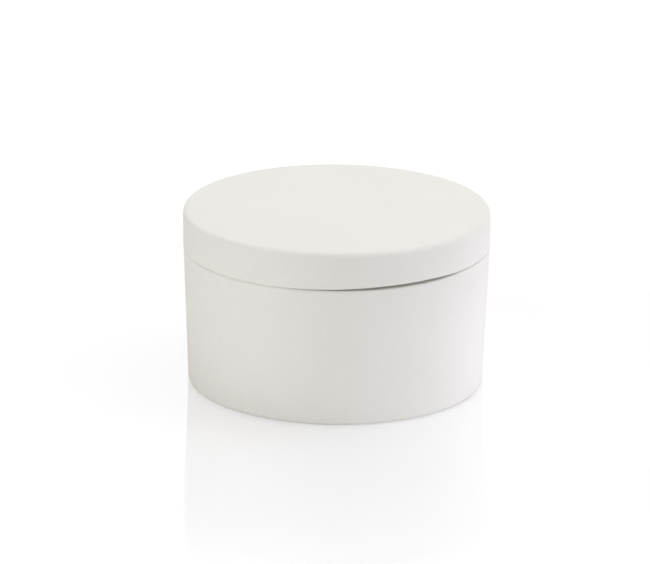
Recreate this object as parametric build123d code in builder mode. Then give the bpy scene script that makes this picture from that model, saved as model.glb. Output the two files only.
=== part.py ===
from build123d import *
from math import asin, cos, degrees, radians, sin, tan
import os

# Round slip-cast ceramic box: a tapered pot with a raised collar, and a flat cap lid that
# drops over the collar and rests on the pot's shoulder. The front of the box faces -Y.
# Driving dimensions, in millimetres and degrees

# Lid
lid_diameter = 110.0
lid_height = 13.75  # side of the lid, from its rim to its top face
lid_wall = 5.0  # skirt
lid_plate = 5.0  # top
lid_edge_round = 2.5  # soft edge round the top face
lid_inner_round = 4.0  # cast corner between the skirt and the plate
rim_round = 0.65  # both edges of the rim, sponged after it was rubbed down

# The rim was rubbed down by hand, and dips along one stretch, where the seam gapes
rim_allowance = 2.0  # skirt cast over-long, and rubbed away
rim_dip = 1.1  # deepest, at the lid's outside
rim_dip_span = 112.0  # angle that the dip takes up round the rim
rim_dip_bearing = -64.0  # middle of the dip, from +X

# Pot
pot_height = 50.25  # table to the shoulder
lid_overhang = 0.1  # lid's side outside the pot's shoulder
pot_draft = 1.9  # taper of the outer wall, narrower at the foot
pot_wall = 5.0
pot_floor = 5.0
shoulder_round = 0.65
foot_round = 0.8
foot_width = 8.0  # ring that stands on the table
foot_recess = 0.8  # underside inside that ring
foot_bevel = 1.2  # width of the slope from the ring to the recess
floor_inner_round = 6.0

# Collar inside the lid
collar_height = 6.0
collar_wall = 4.0
collar_clearance = 0.5  # radial gap to the lid's skirt
collar_draft = 2.0
collar_root_round = 0.6
collar_outer_round = 1.2
collar_inner_round = 1.8

# Underside of the shoulder, a soft slope from the collar's throat to the pot's inner wall
throat_drop = 2.0  # shoulder down to the start of the slope
throat_slope = 5.0  # height of the slope
throat_round = 5.0

# Sizes that follow from them
lid_radius = lid_diameter / 2
skirt_radius = lid_radius - lid_wall
lid_top = pot_height + lid_height
lid_underside = lid_top - lid_plate
cast_rim = pot_height - rim_allowance

dip_start = lid_radius * cos(radians(rim_dip_span / 2))  # from the axis
dip_run = lid_radius - dip_start
dip_radius = (dip_run**2 + rim_dip**2) / (2 * rim_dip)
dip_sweep = 2 * degrees(asin(dip_run / dip_radius))  # goes on past the lid's outside
dip_out = Vector(cos(radians(rim_dip_bearing)), sin(radians(rim_dip_bearing)), 0)

shoulder_radius = lid_radius - lid_overhang
foot_radius = shoulder_radius - pot_height * tan(radians(pot_draft))
foot_inner_radius = foot_radius - foot_width
floor_top = foot_recess + pot_floor

collar_radius = skirt_radius - collar_clearance
collar_top = pot_height + collar_height
collar_top_radius = collar_radius - collar_height * tan(radians(collar_draft))
throat_radius = collar_radius - collar_wall
throat_top = pot_height - throat_drop
throat_bottom = throat_top - throat_slope


def inner_wall_radius(height):
    return foot_radius + height * tan(radians(pot_draft)) - pot_wall


# Pot: its half section runs from the middle of the underside, up the outside, over the
# collar and down the inside. Each corner is (radius, height, rounding).
pot_corners = [
    (foot_inner_radius - foot_bevel, foot_recess, 0),
    (foot_inner_radius, 0, 0),
    (foot_radius, 0, foot_round),
    (shoulder_radius, pot_height, shoulder_round),
    (collar_radius, pot_height, collar_root_round),
    (collar_top_radius, collar_top, collar_outer_round),
    (throat_radius, collar_top, collar_inner_round),
    (throat_radius, throat_top, throat_round),
    (inner_wall_radius(throat_bottom), throat_bottom, throat_round),
    (inner_wall_radius(floor_top), floor_top, floor_inner_round),
]
with BuildPart() as pot:
    with BuildSketch(Plane.XZ):
        with BuildLine():
            outline = FilletPolyline(
                (0, foot_recess),
                *[(radius, height) for radius, height, _ in pot_corners],
                (0, floor_top),
                radius=[rounding for _, _, rounding in pot_corners],
            )
            Line(outline @ 1, outline @ 0)
        make_face()
    revolve(axis=Axis.Z)
pot.part.label = "pot"

# Lid: its half section runs from the middle of the top face, down the side and back inside
lid_corners = [
    (lid_radius, lid_top, lid_edge_round),
    (lid_radius, cast_rim, 0),
    (skirt_radius, cast_rim, 0),
    (skirt_radius, lid_underside, lid_inner_round),
]
with BuildPart() as lid:
    with BuildSketch(Plane.XZ):
        with BuildLine():
            outline = FilletPolyline(
                (0, lid_top),
                *[(radius, height) for radius, height, _ in lid_corners],
                (0, lid_underside),
                radius=[rounding for _, _, rounding in lid_corners],
            )
            Line(outline @ 1, outline @ 0)
        make_face()
    revolve(axis=Axis.Z)

    # What is rubbed off the rim, seen along the rim: a flat that rises in a shallow arc
    with BuildSketch(
        Plane(origin=(0, 0, pot_height), x_dir=dip_out, z_dir=dip_out.cross(Vector(0, 0, 1)))
    ):
        with BuildLine():
            dip = CenterArc((dip_start, dip_radius), dip_radius, -90, dip_sweep)
            far_side = -lid_radius - rim_allowance
            below = -2 * rim_allowance
            Polyline(dip @ 1, ((dip @ 1).X, below), (far_side, below), (far_side, 0), dip @ 0)
        make_face()
    extrude(amount=lid_radius + rim_allowance, both=True, mode=Mode.SUBTRACT)
    rim_faces = lid.faces().sort_by(Axis.Z)[:2]  # the flat and the dip
    fillet(rim_faces.edges().filter_by(GeomType.LINE, reverse=True), radius=rim_round)
lid.part.label = "lid"

os.makedirs("parts", exist_ok=True)
for piece in (pot, lid):
    export_step(piece.part, f"parts/{piece.part.label}.step")
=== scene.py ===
import math
import bmesh
import bpy
from mathutils import Matrix, Vector, noise


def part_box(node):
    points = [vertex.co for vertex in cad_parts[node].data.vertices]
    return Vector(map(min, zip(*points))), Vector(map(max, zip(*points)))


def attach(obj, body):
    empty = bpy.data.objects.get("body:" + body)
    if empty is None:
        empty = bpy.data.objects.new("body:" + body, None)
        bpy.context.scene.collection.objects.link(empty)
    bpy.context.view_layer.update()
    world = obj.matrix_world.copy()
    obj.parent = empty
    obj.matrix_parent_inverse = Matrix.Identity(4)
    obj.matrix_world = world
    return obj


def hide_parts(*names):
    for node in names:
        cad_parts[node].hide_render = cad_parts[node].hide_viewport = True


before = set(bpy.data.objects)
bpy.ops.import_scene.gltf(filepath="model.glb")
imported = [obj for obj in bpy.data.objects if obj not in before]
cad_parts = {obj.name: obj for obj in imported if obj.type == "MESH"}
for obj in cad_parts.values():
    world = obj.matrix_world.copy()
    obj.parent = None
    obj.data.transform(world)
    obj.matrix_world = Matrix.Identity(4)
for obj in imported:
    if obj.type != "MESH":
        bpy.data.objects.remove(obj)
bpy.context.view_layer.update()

mm = 0.001
potLow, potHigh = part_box("pot")
lidLow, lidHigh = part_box("lid")
print("frame loaded, nodes:", sorted(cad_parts))


# camera, where the photograph was taken from
photoView = {
    "width": 650,
    "height": 564,
    "focal": 4000,               # pixels
    "sensor": 36,                # millimetres
    "target": Vector((0, 0, 32 * mm)),
    "targetPixel": (336.22, 291.4),   # where the target lies in the image
    "distance": 1.4395,
    "elevation": math.radians(18.26),
    "roll": math.radians(0.59),
}


def setCamera(view):
    data = bpy.data.cameras.new("photoCamera")
    data.sensor_width = view["sensor"]
    data.lens = view["sensor"] * view["focal"] / view["width"]
    data.shift_x = (view["width"] / 2 - view["targetPixel"][0]) / view["width"]
    data.shift_y = (view["targetPixel"][1] - view["height"] / 2) / view["width"]
    camera = bpy.data.objects.new("photoCamera", data)
    back = Vector((0, -math.cos(view["elevation"]), math.sin(view["elevation"])))
    turn = (-back).to_track_quat("-Z", "Y").to_matrix() @ Matrix.Rotation(view["roll"], 3, "Z")
    camera.matrix_world = Matrix.LocRotScale(view["target"] + back * view["distance"], turn, None)
    bpy.context.scene.collection.objects.link(camera)
    bpy.context.scene.camera = camera


setCamera(photoView)
print("camera set")


# turned ware: an outline of (radius, height, rounding) corners, rounded and spun about Z
turning = {
    "turns": 256,        # steps round the axis
    "roundSteps": 7,     # steps over each rounded corner
    "ringGap": 4 * mm,   # rings this close on the long walls
    "weld": 0.001 * mm,  # points this close become one
}


def roundCorners(bm, verts, corners):
    for index in range(1, len(corners) - 1):
        before, here, after = (Vector(corner[:2]) for corner in corners[index - 1:index + 2])
        turn = (here - before).angle(after - here)
        offset = corners[index][2] * math.tan(turn / 2)
        if offset:
            bmesh.ops.bevel(
                bm, geom=[verts[index]], offset=offset, offset_type="OFFSET", affect="VERTICES",
                segments=turning["roundSteps"], profile=0.5, clamp_overlap=False, material=-1,
            )


def addRings(bm):
    for edge in bm.edges[:]:
        cuts = int(edge.calc_length() / turning["ringGap"])
        if cuts:
            bmesh.ops.subdivide_edges(bm, edges=[edge], cuts=cuts)


def turnOutline(corners):
    bm = bmesh.new()
    verts = [bm.verts.new((radius, 0, height)) for radius, height, rounding in corners]
    for pair in zip(verts, verts[1:]):
        bm.edges.new(pair)
    roundCorners(bm, verts, corners)
    addRings(bm)
    bmesh.ops.spin(
        bm, geom=bm.verts[:] + bm.edges[:], cent=(0, 0, 0), axis=(0, 0, 1), angle=2 * math.pi,
        steps=turning["turns"], use_merge=True,
    )
    bmesh.ops.remove_doubles(bm, verts=bm.verts, dist=turning["weld"])
    bmesh.ops.recalc_face_normals(bm, faces=bm.faces)
    return bm


def fraction(value, start, end):
    return min(max((value - start) / (end - start), 0), 1)


def smoothstep(value):
    return value * value * (3 - 2 * value)


# the walls came a little out of true in casting and drying, and the seam in rubbing down by hand
unevenness = {
    "swell": 0.06 * mm,          # most that a wall stands in or out
    "swellPerMetre": 22,
    "seam": lidLow.z,
    "seamReach": 8 * mm,         # the walls follow the seam this far up and down
    "lean": 0.6 * mm,            # shoulder and rim: higher at the far right, lower at the far left
    "gapOpens": (math.radians(-125), math.radians(-70)),   # bearings from +X, shut and open
    "gapCloses": (math.radians(-32), math.radians(-55)),
}


def warpPiece(bm, seed, dip):
    for vert in bm.verts:
        spot = vert.co * unevenness["swellPerMetre"] + Vector((seed, 0, 0))
        out = Vector((vert.co.x, vert.co.y, 0))
        if out.length:
            vert.co += out.normalized() * unevenness["swell"] * noise.noise(spot)
        bearing = math.atan2(vert.co.y, vert.co.x)
        opens = fraction(bearing, *unevenness["gapOpens"])
        closes = fraction(bearing, *unevenness["gapCloses"])
        gap = dip * opens * smoothstep(opens) * smoothstep(closes)
        lean = unevenness["lean"] * vert.co.x / lidHigh.x
        nearSeam = fraction(abs(vert.co.z - unevenness["seam"]), unevenness["seamReach"], 0)
        vert.co.z += (lean + gap) * smoothstep(nearSeam)


def finishPiece(bm, name, body, material):
    mesh = bpy.data.meshes.new(name)
    bm.to_mesh(mesh)
    bm.free()
    mesh.shade_smooth()
    mesh.materials.append(material)
    piece = bpy.data.objects.new(name, mesh)
    bpy.context.scene.collection.objects.link(piece)
    flats = piece.modifiers.new("flats stay flat", "WEIGHTED_NORMAL")
    flats.keep_sharp = True
    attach(piece, body)
    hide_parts(body)
    print(name, "made:", len(mesh.polygons), "faces")


# node building
def addNode(tree, kind, values=None, **settings):
    node = tree.nodes.new("ShaderNode" + kind)
    for name, value in settings.items():
        setattr(node, name, value)
    for socket, value in (values or {}).items():
        if isinstance(value, bpy.types.NodeSocket):
            tree.links.new(value, node.inputs[socket])
        else:
            node.inputs[socket].default_value = value
    return node


def calc(tree, operation, first, second=0.0):
    return addNode(tree, "Math", {0: first, 1: second}, operation=operation).outputs[0]


def calcVector(tree, operation, values, output=0):
    return addNode(tree, "VectorMath", values, operation=operation).outputs[output]


def ramp(tree, value, start, end, low=0.0, high=1.0, shape="SMOOTHSTEP"):
    return addNode(tree, "MapRange", {
        "Value": value, "From Min": start, "From Max": end, "To Min": low, "To Max": high,
    }, interpolation_type=shape).outputs["Result"]


def blendColor(tree, mask, under, over):
    mix = addNode(tree, "Mix", {0: mask, 6: under, 7: over}, data_type="RGBA")
    return mix.outputs[2]   # like inputs 6 and 7, the one for colours


def clearTree(tree):
    for node in tree.nodes[:]:
        tree.nodes.remove(node)
    return tree


def newGroup(name, inputs, outputs):
    group = bpy.data.node_groups.new(name, "ShaderNodeTree")
    for label, kind in inputs.items():
        group.interface.new_socket(label, in_out="INPUT", socket_type="NodeSocket" + kind)
    for label, kind in outputs.items():
        group.interface.new_socket(label, in_out="OUTPUT", socket_type="NodeSocket" + kind)
    enter = group.nodes.new("NodeGroupInput").outputs
    leave = group.nodes.new("NodeGroupOutput").inputs
    return group, enter, leave


def polarPlace(tree, vector):
    flat = calcVector(tree, "MULTIPLY", {0: vector, 1: (1, 1, 0)})
    radius = calcVector(tree, "LENGTH", {0: flat}, "Value")
    facing = calcVector(tree, "NORMALIZE", {0: flat})
    height = addNode(tree, "SeparateXYZ", {0: vector}).outputs["Z"]
    return radius, facing, height


# fired clay grain, with the pinholes that air leaves in cast slip
grainLook = {
    "detail": 3.0,
    "roughness": 0.6,
    "pitFrom": 0.72,             # only cells with a random value above this have a pinhole
    "pitEdge": (0.06, 0.02),     # its outer and inner edge, from the middle of the cell
}


def makeClayGrain(look):
    group, enter, leave = newGroup(
        "clayGrain", {"Vector": "Vector", "Grain Scale": "Float", "Pit Scale": "Float"},
        {"Height": "Float", "Pits": "Float"},
    )
    grain = addNode(group, "TexNoise", {
        "Vector": enter["Vector"], "Scale": enter["Grain Scale"],
        "Detail": look["detail"], "Roughness": look["roughness"],
    }).outputs["Fac"]
    cells = addNode(group, "TexVoronoi", {"Vector": enter["Vector"], "Scale": enter["Pit Scale"]})
    holed = calc(group, "GREATER_THAN", cells.outputs["Color"], look["pitFrom"])
    pits = calc(group, "MULTIPLY", holed, ramp(group, cells.outputs["Distance"], *look["pitEdge"]))
    group.links.new(pits, leave["Pits"])
    group.links.new(calc(group, "SUBTRACT", grain, pits), leave["Height"])
    return group


# uneven tone of bisque, from a broad cloud and small flecks
toneLook = {
    "scales": (38.0, 420.0),
    "detail": 2.0,
    "spread": (0.7, 1.3),        # the two added up, where pale and where deep
}


def makeClayTone(look):
    group, enter, leave = newGroup(
        "clayTone", {"Vector": "Vector", "Pale": "Color", "Deep": "Color"},
        {"Color": "Color", "Shade": "Float"},
    )
    clouds = []
    for scale in look["scales"]:
        cloud = addNode(group, "TexNoise", {
            "Vector": enter["Vector"], "Scale": scale, "Detail": look["detail"],
        })
        clouds.append(cloud.outputs["Fac"])
    shade = ramp(group, calc(group, "ADD", *clouds), *look["spread"], shape="LINEAR")
    group.links.new(shade, leave["Shade"])
    group.links.new(blendColor(group, shade, enter["Pale"], enter["Deep"]), leave["Color"])
    return group


# marks of the damp sponge and the fettling blade, drawn round the axis
wipeLook = {
    "detail": 3.0,
    "roughness": 0.55,
    "spread": (0.32, 0.68),
}


def makeWipeMarks(look):
    group, enter, leave = newGroup(
        "wipeMarks", {"Vector": "Vector", "Along": "Float", "Across": "Float"}, {"Marks": "Float"},
    )
    radius, facing, height = polarPlace(group, enter["Vector"])
    along = calcVector(group, "SCALE", {0: facing, "Scale": enter["Along"]})
    step = calc(group, "MULTIPLY", calc(group, "ADD", radius, height), enter["Across"])
    lift = addNode(group, "CombineXYZ", {"Z": step}).outputs[0]
    streak = addNode(group, "TexNoise", {
        "Vector": calcVector(group, "ADD", {0: along, 1: lift}), "Scale": 1.0,
        "Detail": look["detail"], "Roughness": look["roughness"],
    })
    group.links.new(ramp(group, streak.outputs["Fac"], *look["spread"]), leave["Marks"])
    return group


clayGrain = makeClayGrain(grainLook)
clayTone = makeClayTone(toneLook)
wipeMarks = makeWipeMarks(wipeLook)
print("clay groups made")


# bisque: matt, off-white, sponged outside and left as the slip drained inside
bisque = {
    "pale": (0.860, 0.843, 0.796, 1),
    "deep": (0.843, 0.826, 0.777, 1),
    # painted shade in the pinholes
    "pitShade": (0.70, 0.68, 0.62, 1),
    "wearAndSeamShade": (0.79, 0.765, 0.705, 1),   # rubbed foot; at the lid's rim, painted shade along the seam
    "drained": (0.83, 0.805, 0.745, 1),   # inside
    "roughness": (0.80, 0.90),
    "specular": 0.25,
    "grainScale": 2400.0,
    "pitScale": 190.0,
    "pitShadeShare": 0.8,
    "grainDepth": 0.014 * mm,
    "wipeAlong": 2.2,
    "wipeAcross": 520.0,
    "wipeDepth": 0.016 * mm,
    "skinEdge": (0.4 * mm, 0.5 * mm),     # how soft the drained skin's edge is, across and up
    "runReach": (16 * mm, 4 * mm),        # in from the wall, where its runs begin and are full
    "runAround": 9.0,
    "runPerMetre": 22.0,
    "runDetail": 2.0,
    "runSpread": (0.3, 0.7),
    "runShare": (0.35, 1.0),
    "wearAndShadeByTone": (0.2, 0.8),                # deeper clay shows the rubbing and the painted seam shade more
    "wearAndShadeStrength": (0.4, 1.0),
    "wearAndShadeShare": 0.5,
}


def clayMaterial(name, look):
    material = bpy.data.materials.new(name)
    material.use_nodes = True
    tree = clearTree(material.node_tree)
    spot = addNode(tree, "TexCoord").outputs["Object"]
    moved = addNode(tree, "Mapping", {"Vector": spot, "Location": look["shift"]}).outputs[0]
    radius, facing, height = polarPlace(tree, spot)

    tone = addNode(tree, "Group", {
        "Vector": moved, "Pale": bisque["pale"], "Deep": bisque["deep"],
    }, node_tree=clayTone).outputs
    grain = addNode(tree, "Group", {
        "Vector": moved, "Grain Scale": bisque["grainScale"], "Pit Scale": bisque["pitScale"],
    }, node_tree=clayGrain).outputs
    wipes = addNode(tree, "Group", {
        "Vector": spot, "Along": bisque["wipeAlong"], "Across": bisque["wipeAcross"],
    }, node_tree=wipeMarks).outputs["Marks"]

    # inside: the slip's own skin, with soft runs from the draining
    wall = look["insideRadius"]
    across, up = bisque["skinEdge"]
    innerSide = ramp(tree, radius, wall + across, wall)
    above = ramp(tree, height, look["insideFrom"], look["insideFrom"] + up)
    below = ramp(tree, height, look["insideTo"] + up, look["insideTo"])
    inside = calc(tree, "MULTIPLY", innerSide, calc(tree, "MULTIPLY", above, below))
    runsBegin, runsFull = bisque["runReach"]
    onWall = ramp(tree, radius, wall - runsBegin, wall - runsFull, 0.0, bisque["runAround"])
    around = calcVector(tree, "SCALE", {0: facing, "Scale": onWall})
    drop = calcVector(tree, "SCALE", {0: spot, "Scale": bisque["runPerMetre"]})
    runs = addNode(tree, "TexNoise", {
        "Vector": calcVector(tree, "ADD", {0: around, 1: drop}), "Scale": 1.0,
        "Detail": bisque["runDetail"],
    }).outputs["Fac"]
    runMask = ramp(tree, runs, *bisque["runSpread"], *bisque["runShare"])
    drained = calc(tree, "MULTIPLY", inside, runMask)

    # rubbed foot, and painted shade in a darker band at the lid's rim along the seam
    fromWearAndShade = calc(tree, "ABSOLUTE", calc(tree, "SUBTRACT", height, look["wearAndShadeAt"]))
    wearAndShadeBand = ramp(tree, fromWearAndShade, look["wearAndShadeReach"], 0.0)
    wearAndShadeByTone = ramp(tree, tone["Shade"], *bisque["wearAndShadeByTone"], *bisque["wearAndShadeStrength"])
    wearAndShade = calc(tree, "MULTIPLY", wearAndShadeBand, wearAndShadeByTone)

    color = blendColor(tree, drained, tone["Color"], bisque["drained"])
    # darker band: wear at the foot, painted seam shade at the lid's rim
    wearAndShadeMask = calc(tree, "MULTIPLY", wearAndShade, bisque["wearAndShadeShare"])
    color = blendColor(tree, wearAndShadeMask, color, bisque["wearAndSeamShade"])
    # darker pinholes: painted shade inside them
    pitShadeMask = calc(tree, "MULTIPLY", grain["Pits"], bisque["pitShadeShare"])
    color = blendColor(tree, pitShadeMask, color, bisque["pitShade"])

    smooth, rough = bisque["roughness"]
    sheen = calc(tree, "MULTIPLY", wipes, calc(tree, "SUBTRACT", 1.0, wearAndShade))
    roughness = ramp(tree, sheen, 0.0, 1.0, smooth, rough, shape="LINEAR")

    wipeBump = addNode(tree, "Bump", {
        "Height": calc(tree, "MULTIPLY", wipes, calc(tree, "SUBTRACT", 1.0, inside)),
        "Distance": bisque["wipeDepth"],
    })
    grainBump = addNode(tree, "Bump", {
        "Height": grain["Height"], "Distance": bisque["grainDepth"], "Normal": wipeBump.outputs[0],
    })
    shader = addNode(tree, "BsdfPrincipled", {
        "Base Color": color, "Roughness": roughness, "Normal": grainBump.outputs[0],
        "Specular IOR Level": bisque["specular"],
    })
    addNode(tree, "OutputMaterial", {"Surface": shader.outputs[0]})
    return material


# pot, standing on its foot ring
potShape = {
    "shoulder": lidLow.z,
    "shoulderRound": 0.75 * mm,
    "shoulderDip": -0.45 * mm,   # its share of the gap in the seam
    "lidRadius": lidHigh.x,
    "lidOverhang": 0.1 * mm,     # lid's side outside the shoulder
    "draft": math.tan(math.radians(1.9)),   # the wall leans out this much per height
    "wall": 5.0 * mm,
    "floor": 5.8 * mm,           # inside floor, above the table
    "floorRound": 6.0 * mm,
    "footRound": 1.3 * mm,
    "footWidth": 8.0 * mm,
    "footRecess": 0.8 * mm,
    "footBevel": 1.2 * mm,
    "collarTop": potHigh.z,
    "collarRadius": 49.5 * mm,
    "collarLean": 0.2 * mm,      # narrower at the top
    "collarWall": 4.0 * mm,
    "collarRounds": (0.6 * mm, 1.2 * mm, 1.8 * mm),   # root, outer edge, inner edge
    "throatDrop": 2.0 * mm,
    "throatSlope": 5.0 * mm,
    "throatRound": 5.0 * mm,
    "seed": 3,                   # of the swell in the walls
}
potLook = {
    "shift": (0.3, 0.1, 0.2),    # its own place in the grain and tone
    "insideRadius": 50.4 * mm,
    "insideFrom": 4 * mm,
    "insideTo": 49 * mm,
    "wearAndShadeAt": 0,               # the foot
    "wearAndShadeReach": 1.0 * mm,
}


def buildPot(shape, material):
    shoulder, draft = shape["shoulder"], shape["draft"]
    shoulderRadius = shape["lidRadius"] - shape["lidOverhang"]
    footRadius = shoulderRadius - shoulder * draft
    footInside = footRadius - shape["footWidth"]
    throat = shape["collarRadius"] - shape["collarWall"]
    slopeTop = shoulder - shape["throatDrop"]
    slopeFoot = slopeTop - shape["throatSlope"]
    root, outer, inner = shape["collarRounds"]

    def innerWall(height):
        return footRadius + height * draft - shape["wall"]

    bm = turnOutline([
        (0, shape["footRecess"], 0),
        (footInside - shape["footBevel"], shape["footRecess"], 0),
        (footInside, 0, 0),
        (footRadius, 0, shape["footRound"]),
        (shoulderRadius, shoulder, shape["shoulderRound"]),
        (shape["collarRadius"], shoulder, root),
        (shape["collarRadius"] - shape["collarLean"], shape["collarTop"], outer),
        (throat, shape["collarTop"], inner),
        (throat, slopeTop, shape["throatRound"]),
        (innerWall(slopeFoot), slopeFoot, shape["throatRound"]),
        (innerWall(shape["floor"]), shape["floor"], shape["floorRound"]),
        (0, shape["floor"], 0),
    ])
    warpPiece(bm, shape["seed"], shape["shoulderDip"])
    finishPiece(bm, "potBody", "pot", material)


# lid, its rim rubbed down by hand
lidShape = {
    "radius": lidHigh.x,
    "top": lidHigh.z,
    "rim": lidLow.z,
    "wall": 5.0 * mm,
    "plate": 5.0 * mm,
    "edgeRound": 2.0 * mm,
    "innerRound": 4.0 * mm,
    "rimRound": 0.75 * mm,
    "rimDip": 0.6 * mm,          # its share of the gap in the seam
    "seed": 8,
}
lidLook = {
    "shift": (0.7, 0.4, 0.9),
    "insideRadius": 49.6 * mm,
    "insideFrom": 51 * mm,
    "insideTo": 60 * mm,
    # the seam: the darker band here is painted shade
    "wearAndShadeAt": lidShape["rim"],
    "wearAndShadeReach": 0.5 * mm,
}


def buildLid(shape, material):
    skirt = shape["radius"] - shape["wall"]
    underside = shape["top"] - shape["plate"]
    bm = turnOutline([
        (0, shape["top"], 0),
        (shape["radius"], shape["top"], shape["edgeRound"]),
        (shape["radius"], shape["rim"], shape["rimRound"]),
        (skirt, shape["rim"], shape["rimRound"]),
        (skirt, underside, shape["innerRound"]),
        (0, underside, 0),
    ])
    warpPiece(bm, shape["seed"], shape["rimDip"])
    finishPiece(bm, "lidCap", "lid", material)


buildPot(potShape, clayMaterial("potClay", potLook))
buildLid(lidShape, clayMaterial("lidClay", lidLook))


# studio: white world, softboxes and a white gloss floor
plainWhite = (1, 1, 1, 1)
studio = {
    "ambient": 0.2,
    "floorColor": (0.85, 0.85, 0.85, 1),
    "floorHalf": 2.0,
    "floorDrop": 0.02 * mm,      # the foot stands just clear of it
    "opening": 52.35 * mm,       # the floor is open under the foot, so that the underside is lit
    "glow": (0.776, 0.779, 0.791, 1),   # white that the camera sees in the floor by itself
    "glowReach": (0.12, 0.35),   # turns to plain white from here to there
    "shadowShare": 0.24,         # what the camera sees of the light and shadow on the floor
    "shine": 0.41,               # share of mirror beside the box
    "shineReach": (60 * mm, 260 * mm),   # and where it begins to fade and is gone
    "shineRoughness": 0.07,
}
# bearing in degrees to the right of the camera, rise above the table, and the level that a
# white card facing the lamp would show; the last one shines through the opening in the floor
lamps = {
    "backHigh": {"bearing": 130, "rise": 76, "size": 0.6, "level": 0.282, "tint": (1.01, 1, 0.98)},
    "leftFront": {"bearing": -50, "rise": 38, "size": 0.6, "level": 0.203, "tint": (1.01, 1, 1)},
    "leftLow": {"bearing": -40, "rise": 10, "size": 0.45, "level": 0.218, "tint": (1.03, 1, 1.02)},
    "rightLow": {"bearing": 90, "rise": 10, "size": 0.45, "level": 0.202, "tint": (0.99, 1, 1.11)},
    "rightHigh": {"bearing": 90, "rise": 63, "size": 0.6, "level": 0.31, "tint": (1.01, 1, 1.05)},
    "back": {"bearing": -150, "rise": 38, "size": 0.6, "level": 0.163, "tint": (0.99, 1, 0.97)},
    "under": {"bearing": 0, "rise": -89.9, "size": 0.9, "level": 0.45, "tint": (1, 1, 1)},
}
lampReach = 1.1                  # from the box to each lamp
# low bright strips that stand on the table to the right of the box
strips = {
    "bearings": (50, 80),
    "reach": 140 * mm,
    "size": (120 * mm, 24 * mm),
    "level": 0.145,              # at the pot's wall
    "tint": (0.98, 1, 1.15),
}


def studioWorld(settings):
    world = bpy.data.worlds.new("studioWorld")
    world.use_nodes = True
    tree = clearTree(world.node_tree)
    path = addNode(tree, "LightPath").outputs
    seen = calc(tree, "MAXIMUM", path["Is Camera Ray"], path["Is Glossy Ray"])
    seen = calc(tree, "MAXIMUM", seen, path["Is Transmission Ray"])
    ambient = addNode(tree, "Background", {"Strength": settings["ambient"], "Color": plainWhite})
    white = addNode(tree, "Background", {"Strength": 1.0, "Color": plainWhite})
    mixed = addNode(tree, "MixShader", {0: seen, 1: ambient.outputs[0], 2: white.outputs[0]})
    addNode(tree, "OutputWorld", {"Surface": mixed.outputs[0]})
    bpy.context.scene.world = world


def floorMaterial(settings):
    material = bpy.data.materials.new("glossFloor")
    material.use_nodes = True
    tree = clearTree(material.node_tree)
    spot = addNode(tree, "TexCoord").outputs["Object"]
    away = calcVector(tree, "LENGTH", {0: spot}, "Value")
    cameraRay = addNode(tree, "LightPath").outputs["Is Camera Ray"]
    shadows = (settings["shadowShare"],) * 3 + (1,)
    matt = addNode(tree, "BsdfDiffuse", {
        "Color": blendColor(tree, cameraRay, settings["floorColor"], shadows),
    })
    far = ramp(tree, away, *settings["glowReach"])
    glow = addNode(tree, "Emission", {
        "Color": blendColor(tree, far, settings["glow"], plainWhite), "Strength": cameraRay,
    })
    plain = addNode(tree, "AddShader", {0: matt.outputs[0], 1: glow.outputs[0]})
    mirror = addNode(tree, "BsdfAnisotropic", {
        "Color": plainWhite, "Roughness": settings["shineRoughness"],
    })
    shine = ramp(tree, away, *settings["shineReach"], settings["shine"], 0.0, shape="LINEAR")
    shine = calc(tree, "MULTIPLY", cameraRay, shine)
    glossy = addNode(tree, "MixShader", {0: shine, 1: plain.outputs[0], 2: mirror.outputs[0]})
    below = addNode(tree, "NewGeometry").outputs["Backfacing"]   # clear from underneath
    opening = calc(tree, "LESS_THAN", away, settings["opening"])
    unseen = calc(tree, "MAXIMUM", below, opening)
    clear = addNode(tree, "BsdfTransparent")
    oneSided = addNode(tree, "MixShader", {0: unseen, 1: glossy.outputs[0], 2: clear.outputs[0]})
    addNode(tree, "OutputMaterial", {"Surface": oneSided.outputs[0]})
    return material


def layFloor(settings):
    bm = bmesh.new()
    bmesh.ops.create_grid(bm, x_segments=1, y_segments=1, size=settings["floorHalf"])
    bmesh.ops.translate(bm, verts=bm.verts, vec=(0, 0, -settings["floorDrop"]))
    mesh = bpy.data.meshes.new("studioFloor")
    bm.to_mesh(mesh)
    bm.free()
    mesh.materials.append(floorMaterial(settings))
    floor = bpy.data.objects.new("studioFloor", mesh)
    bpy.context.scene.collection.objects.link(floor)


def placeLight(name, data, aim, bearing, rise, reach):
    bearing, rise = math.radians(bearing), math.radians(rise)
    away = Vector((
        math.sin(bearing) * math.cos(rise), -math.cos(bearing) * math.cos(rise), math.sin(rise),
    ))
    light = bpy.data.objects.new(name, data)
    light.visible_camera = False
    light.visible_glossy = False
    light.matrix_world = Matrix.LocRotScale(aim + away * reach, away.to_track_quat("Z", "Y"), None)
    bpy.context.scene.collection.objects.link(light)


def hangLamp(name, lamp):
    data = bpy.data.lights.new(name, "AREA")
    data.size = lamp["size"]
    data.energy = lamp["level"] * (math.pi * lampReach) ** 2
    data.color = lamp["tint"]
    placeLight(name, data, photoView["target"], lamp["bearing"], lamp["rise"], lampReach)


def standStrips(settings):
    data = bpy.data.lights.new("lowStrip", "AREA")
    data.shape = "RECTANGLE"
    data.size, data.size_y = settings["size"]
    wallReach = settings["reach"] - lidHigh.x
    data.energy = settings["level"] * (math.pi * wallReach) ** 2
    data.color = settings["tint"]
    middle = Vector((0, 0, data.size_y / 2))
    for bearing in settings["bearings"]:
        placeLight("lowStrip", data, middle, bearing, 0, settings["reach"])


studioWorld(studio)
layFloor(studio)
for lampName, lampSettings in lamps.items():
    hangLamp(lampName, lampSettings)
standStrips(strips)
bpy.context.scene.view_settings.view_transform = "Standard"
print("studio lit by", len(lamps), "softboxes and", len(strips["bearings"]), "strips")
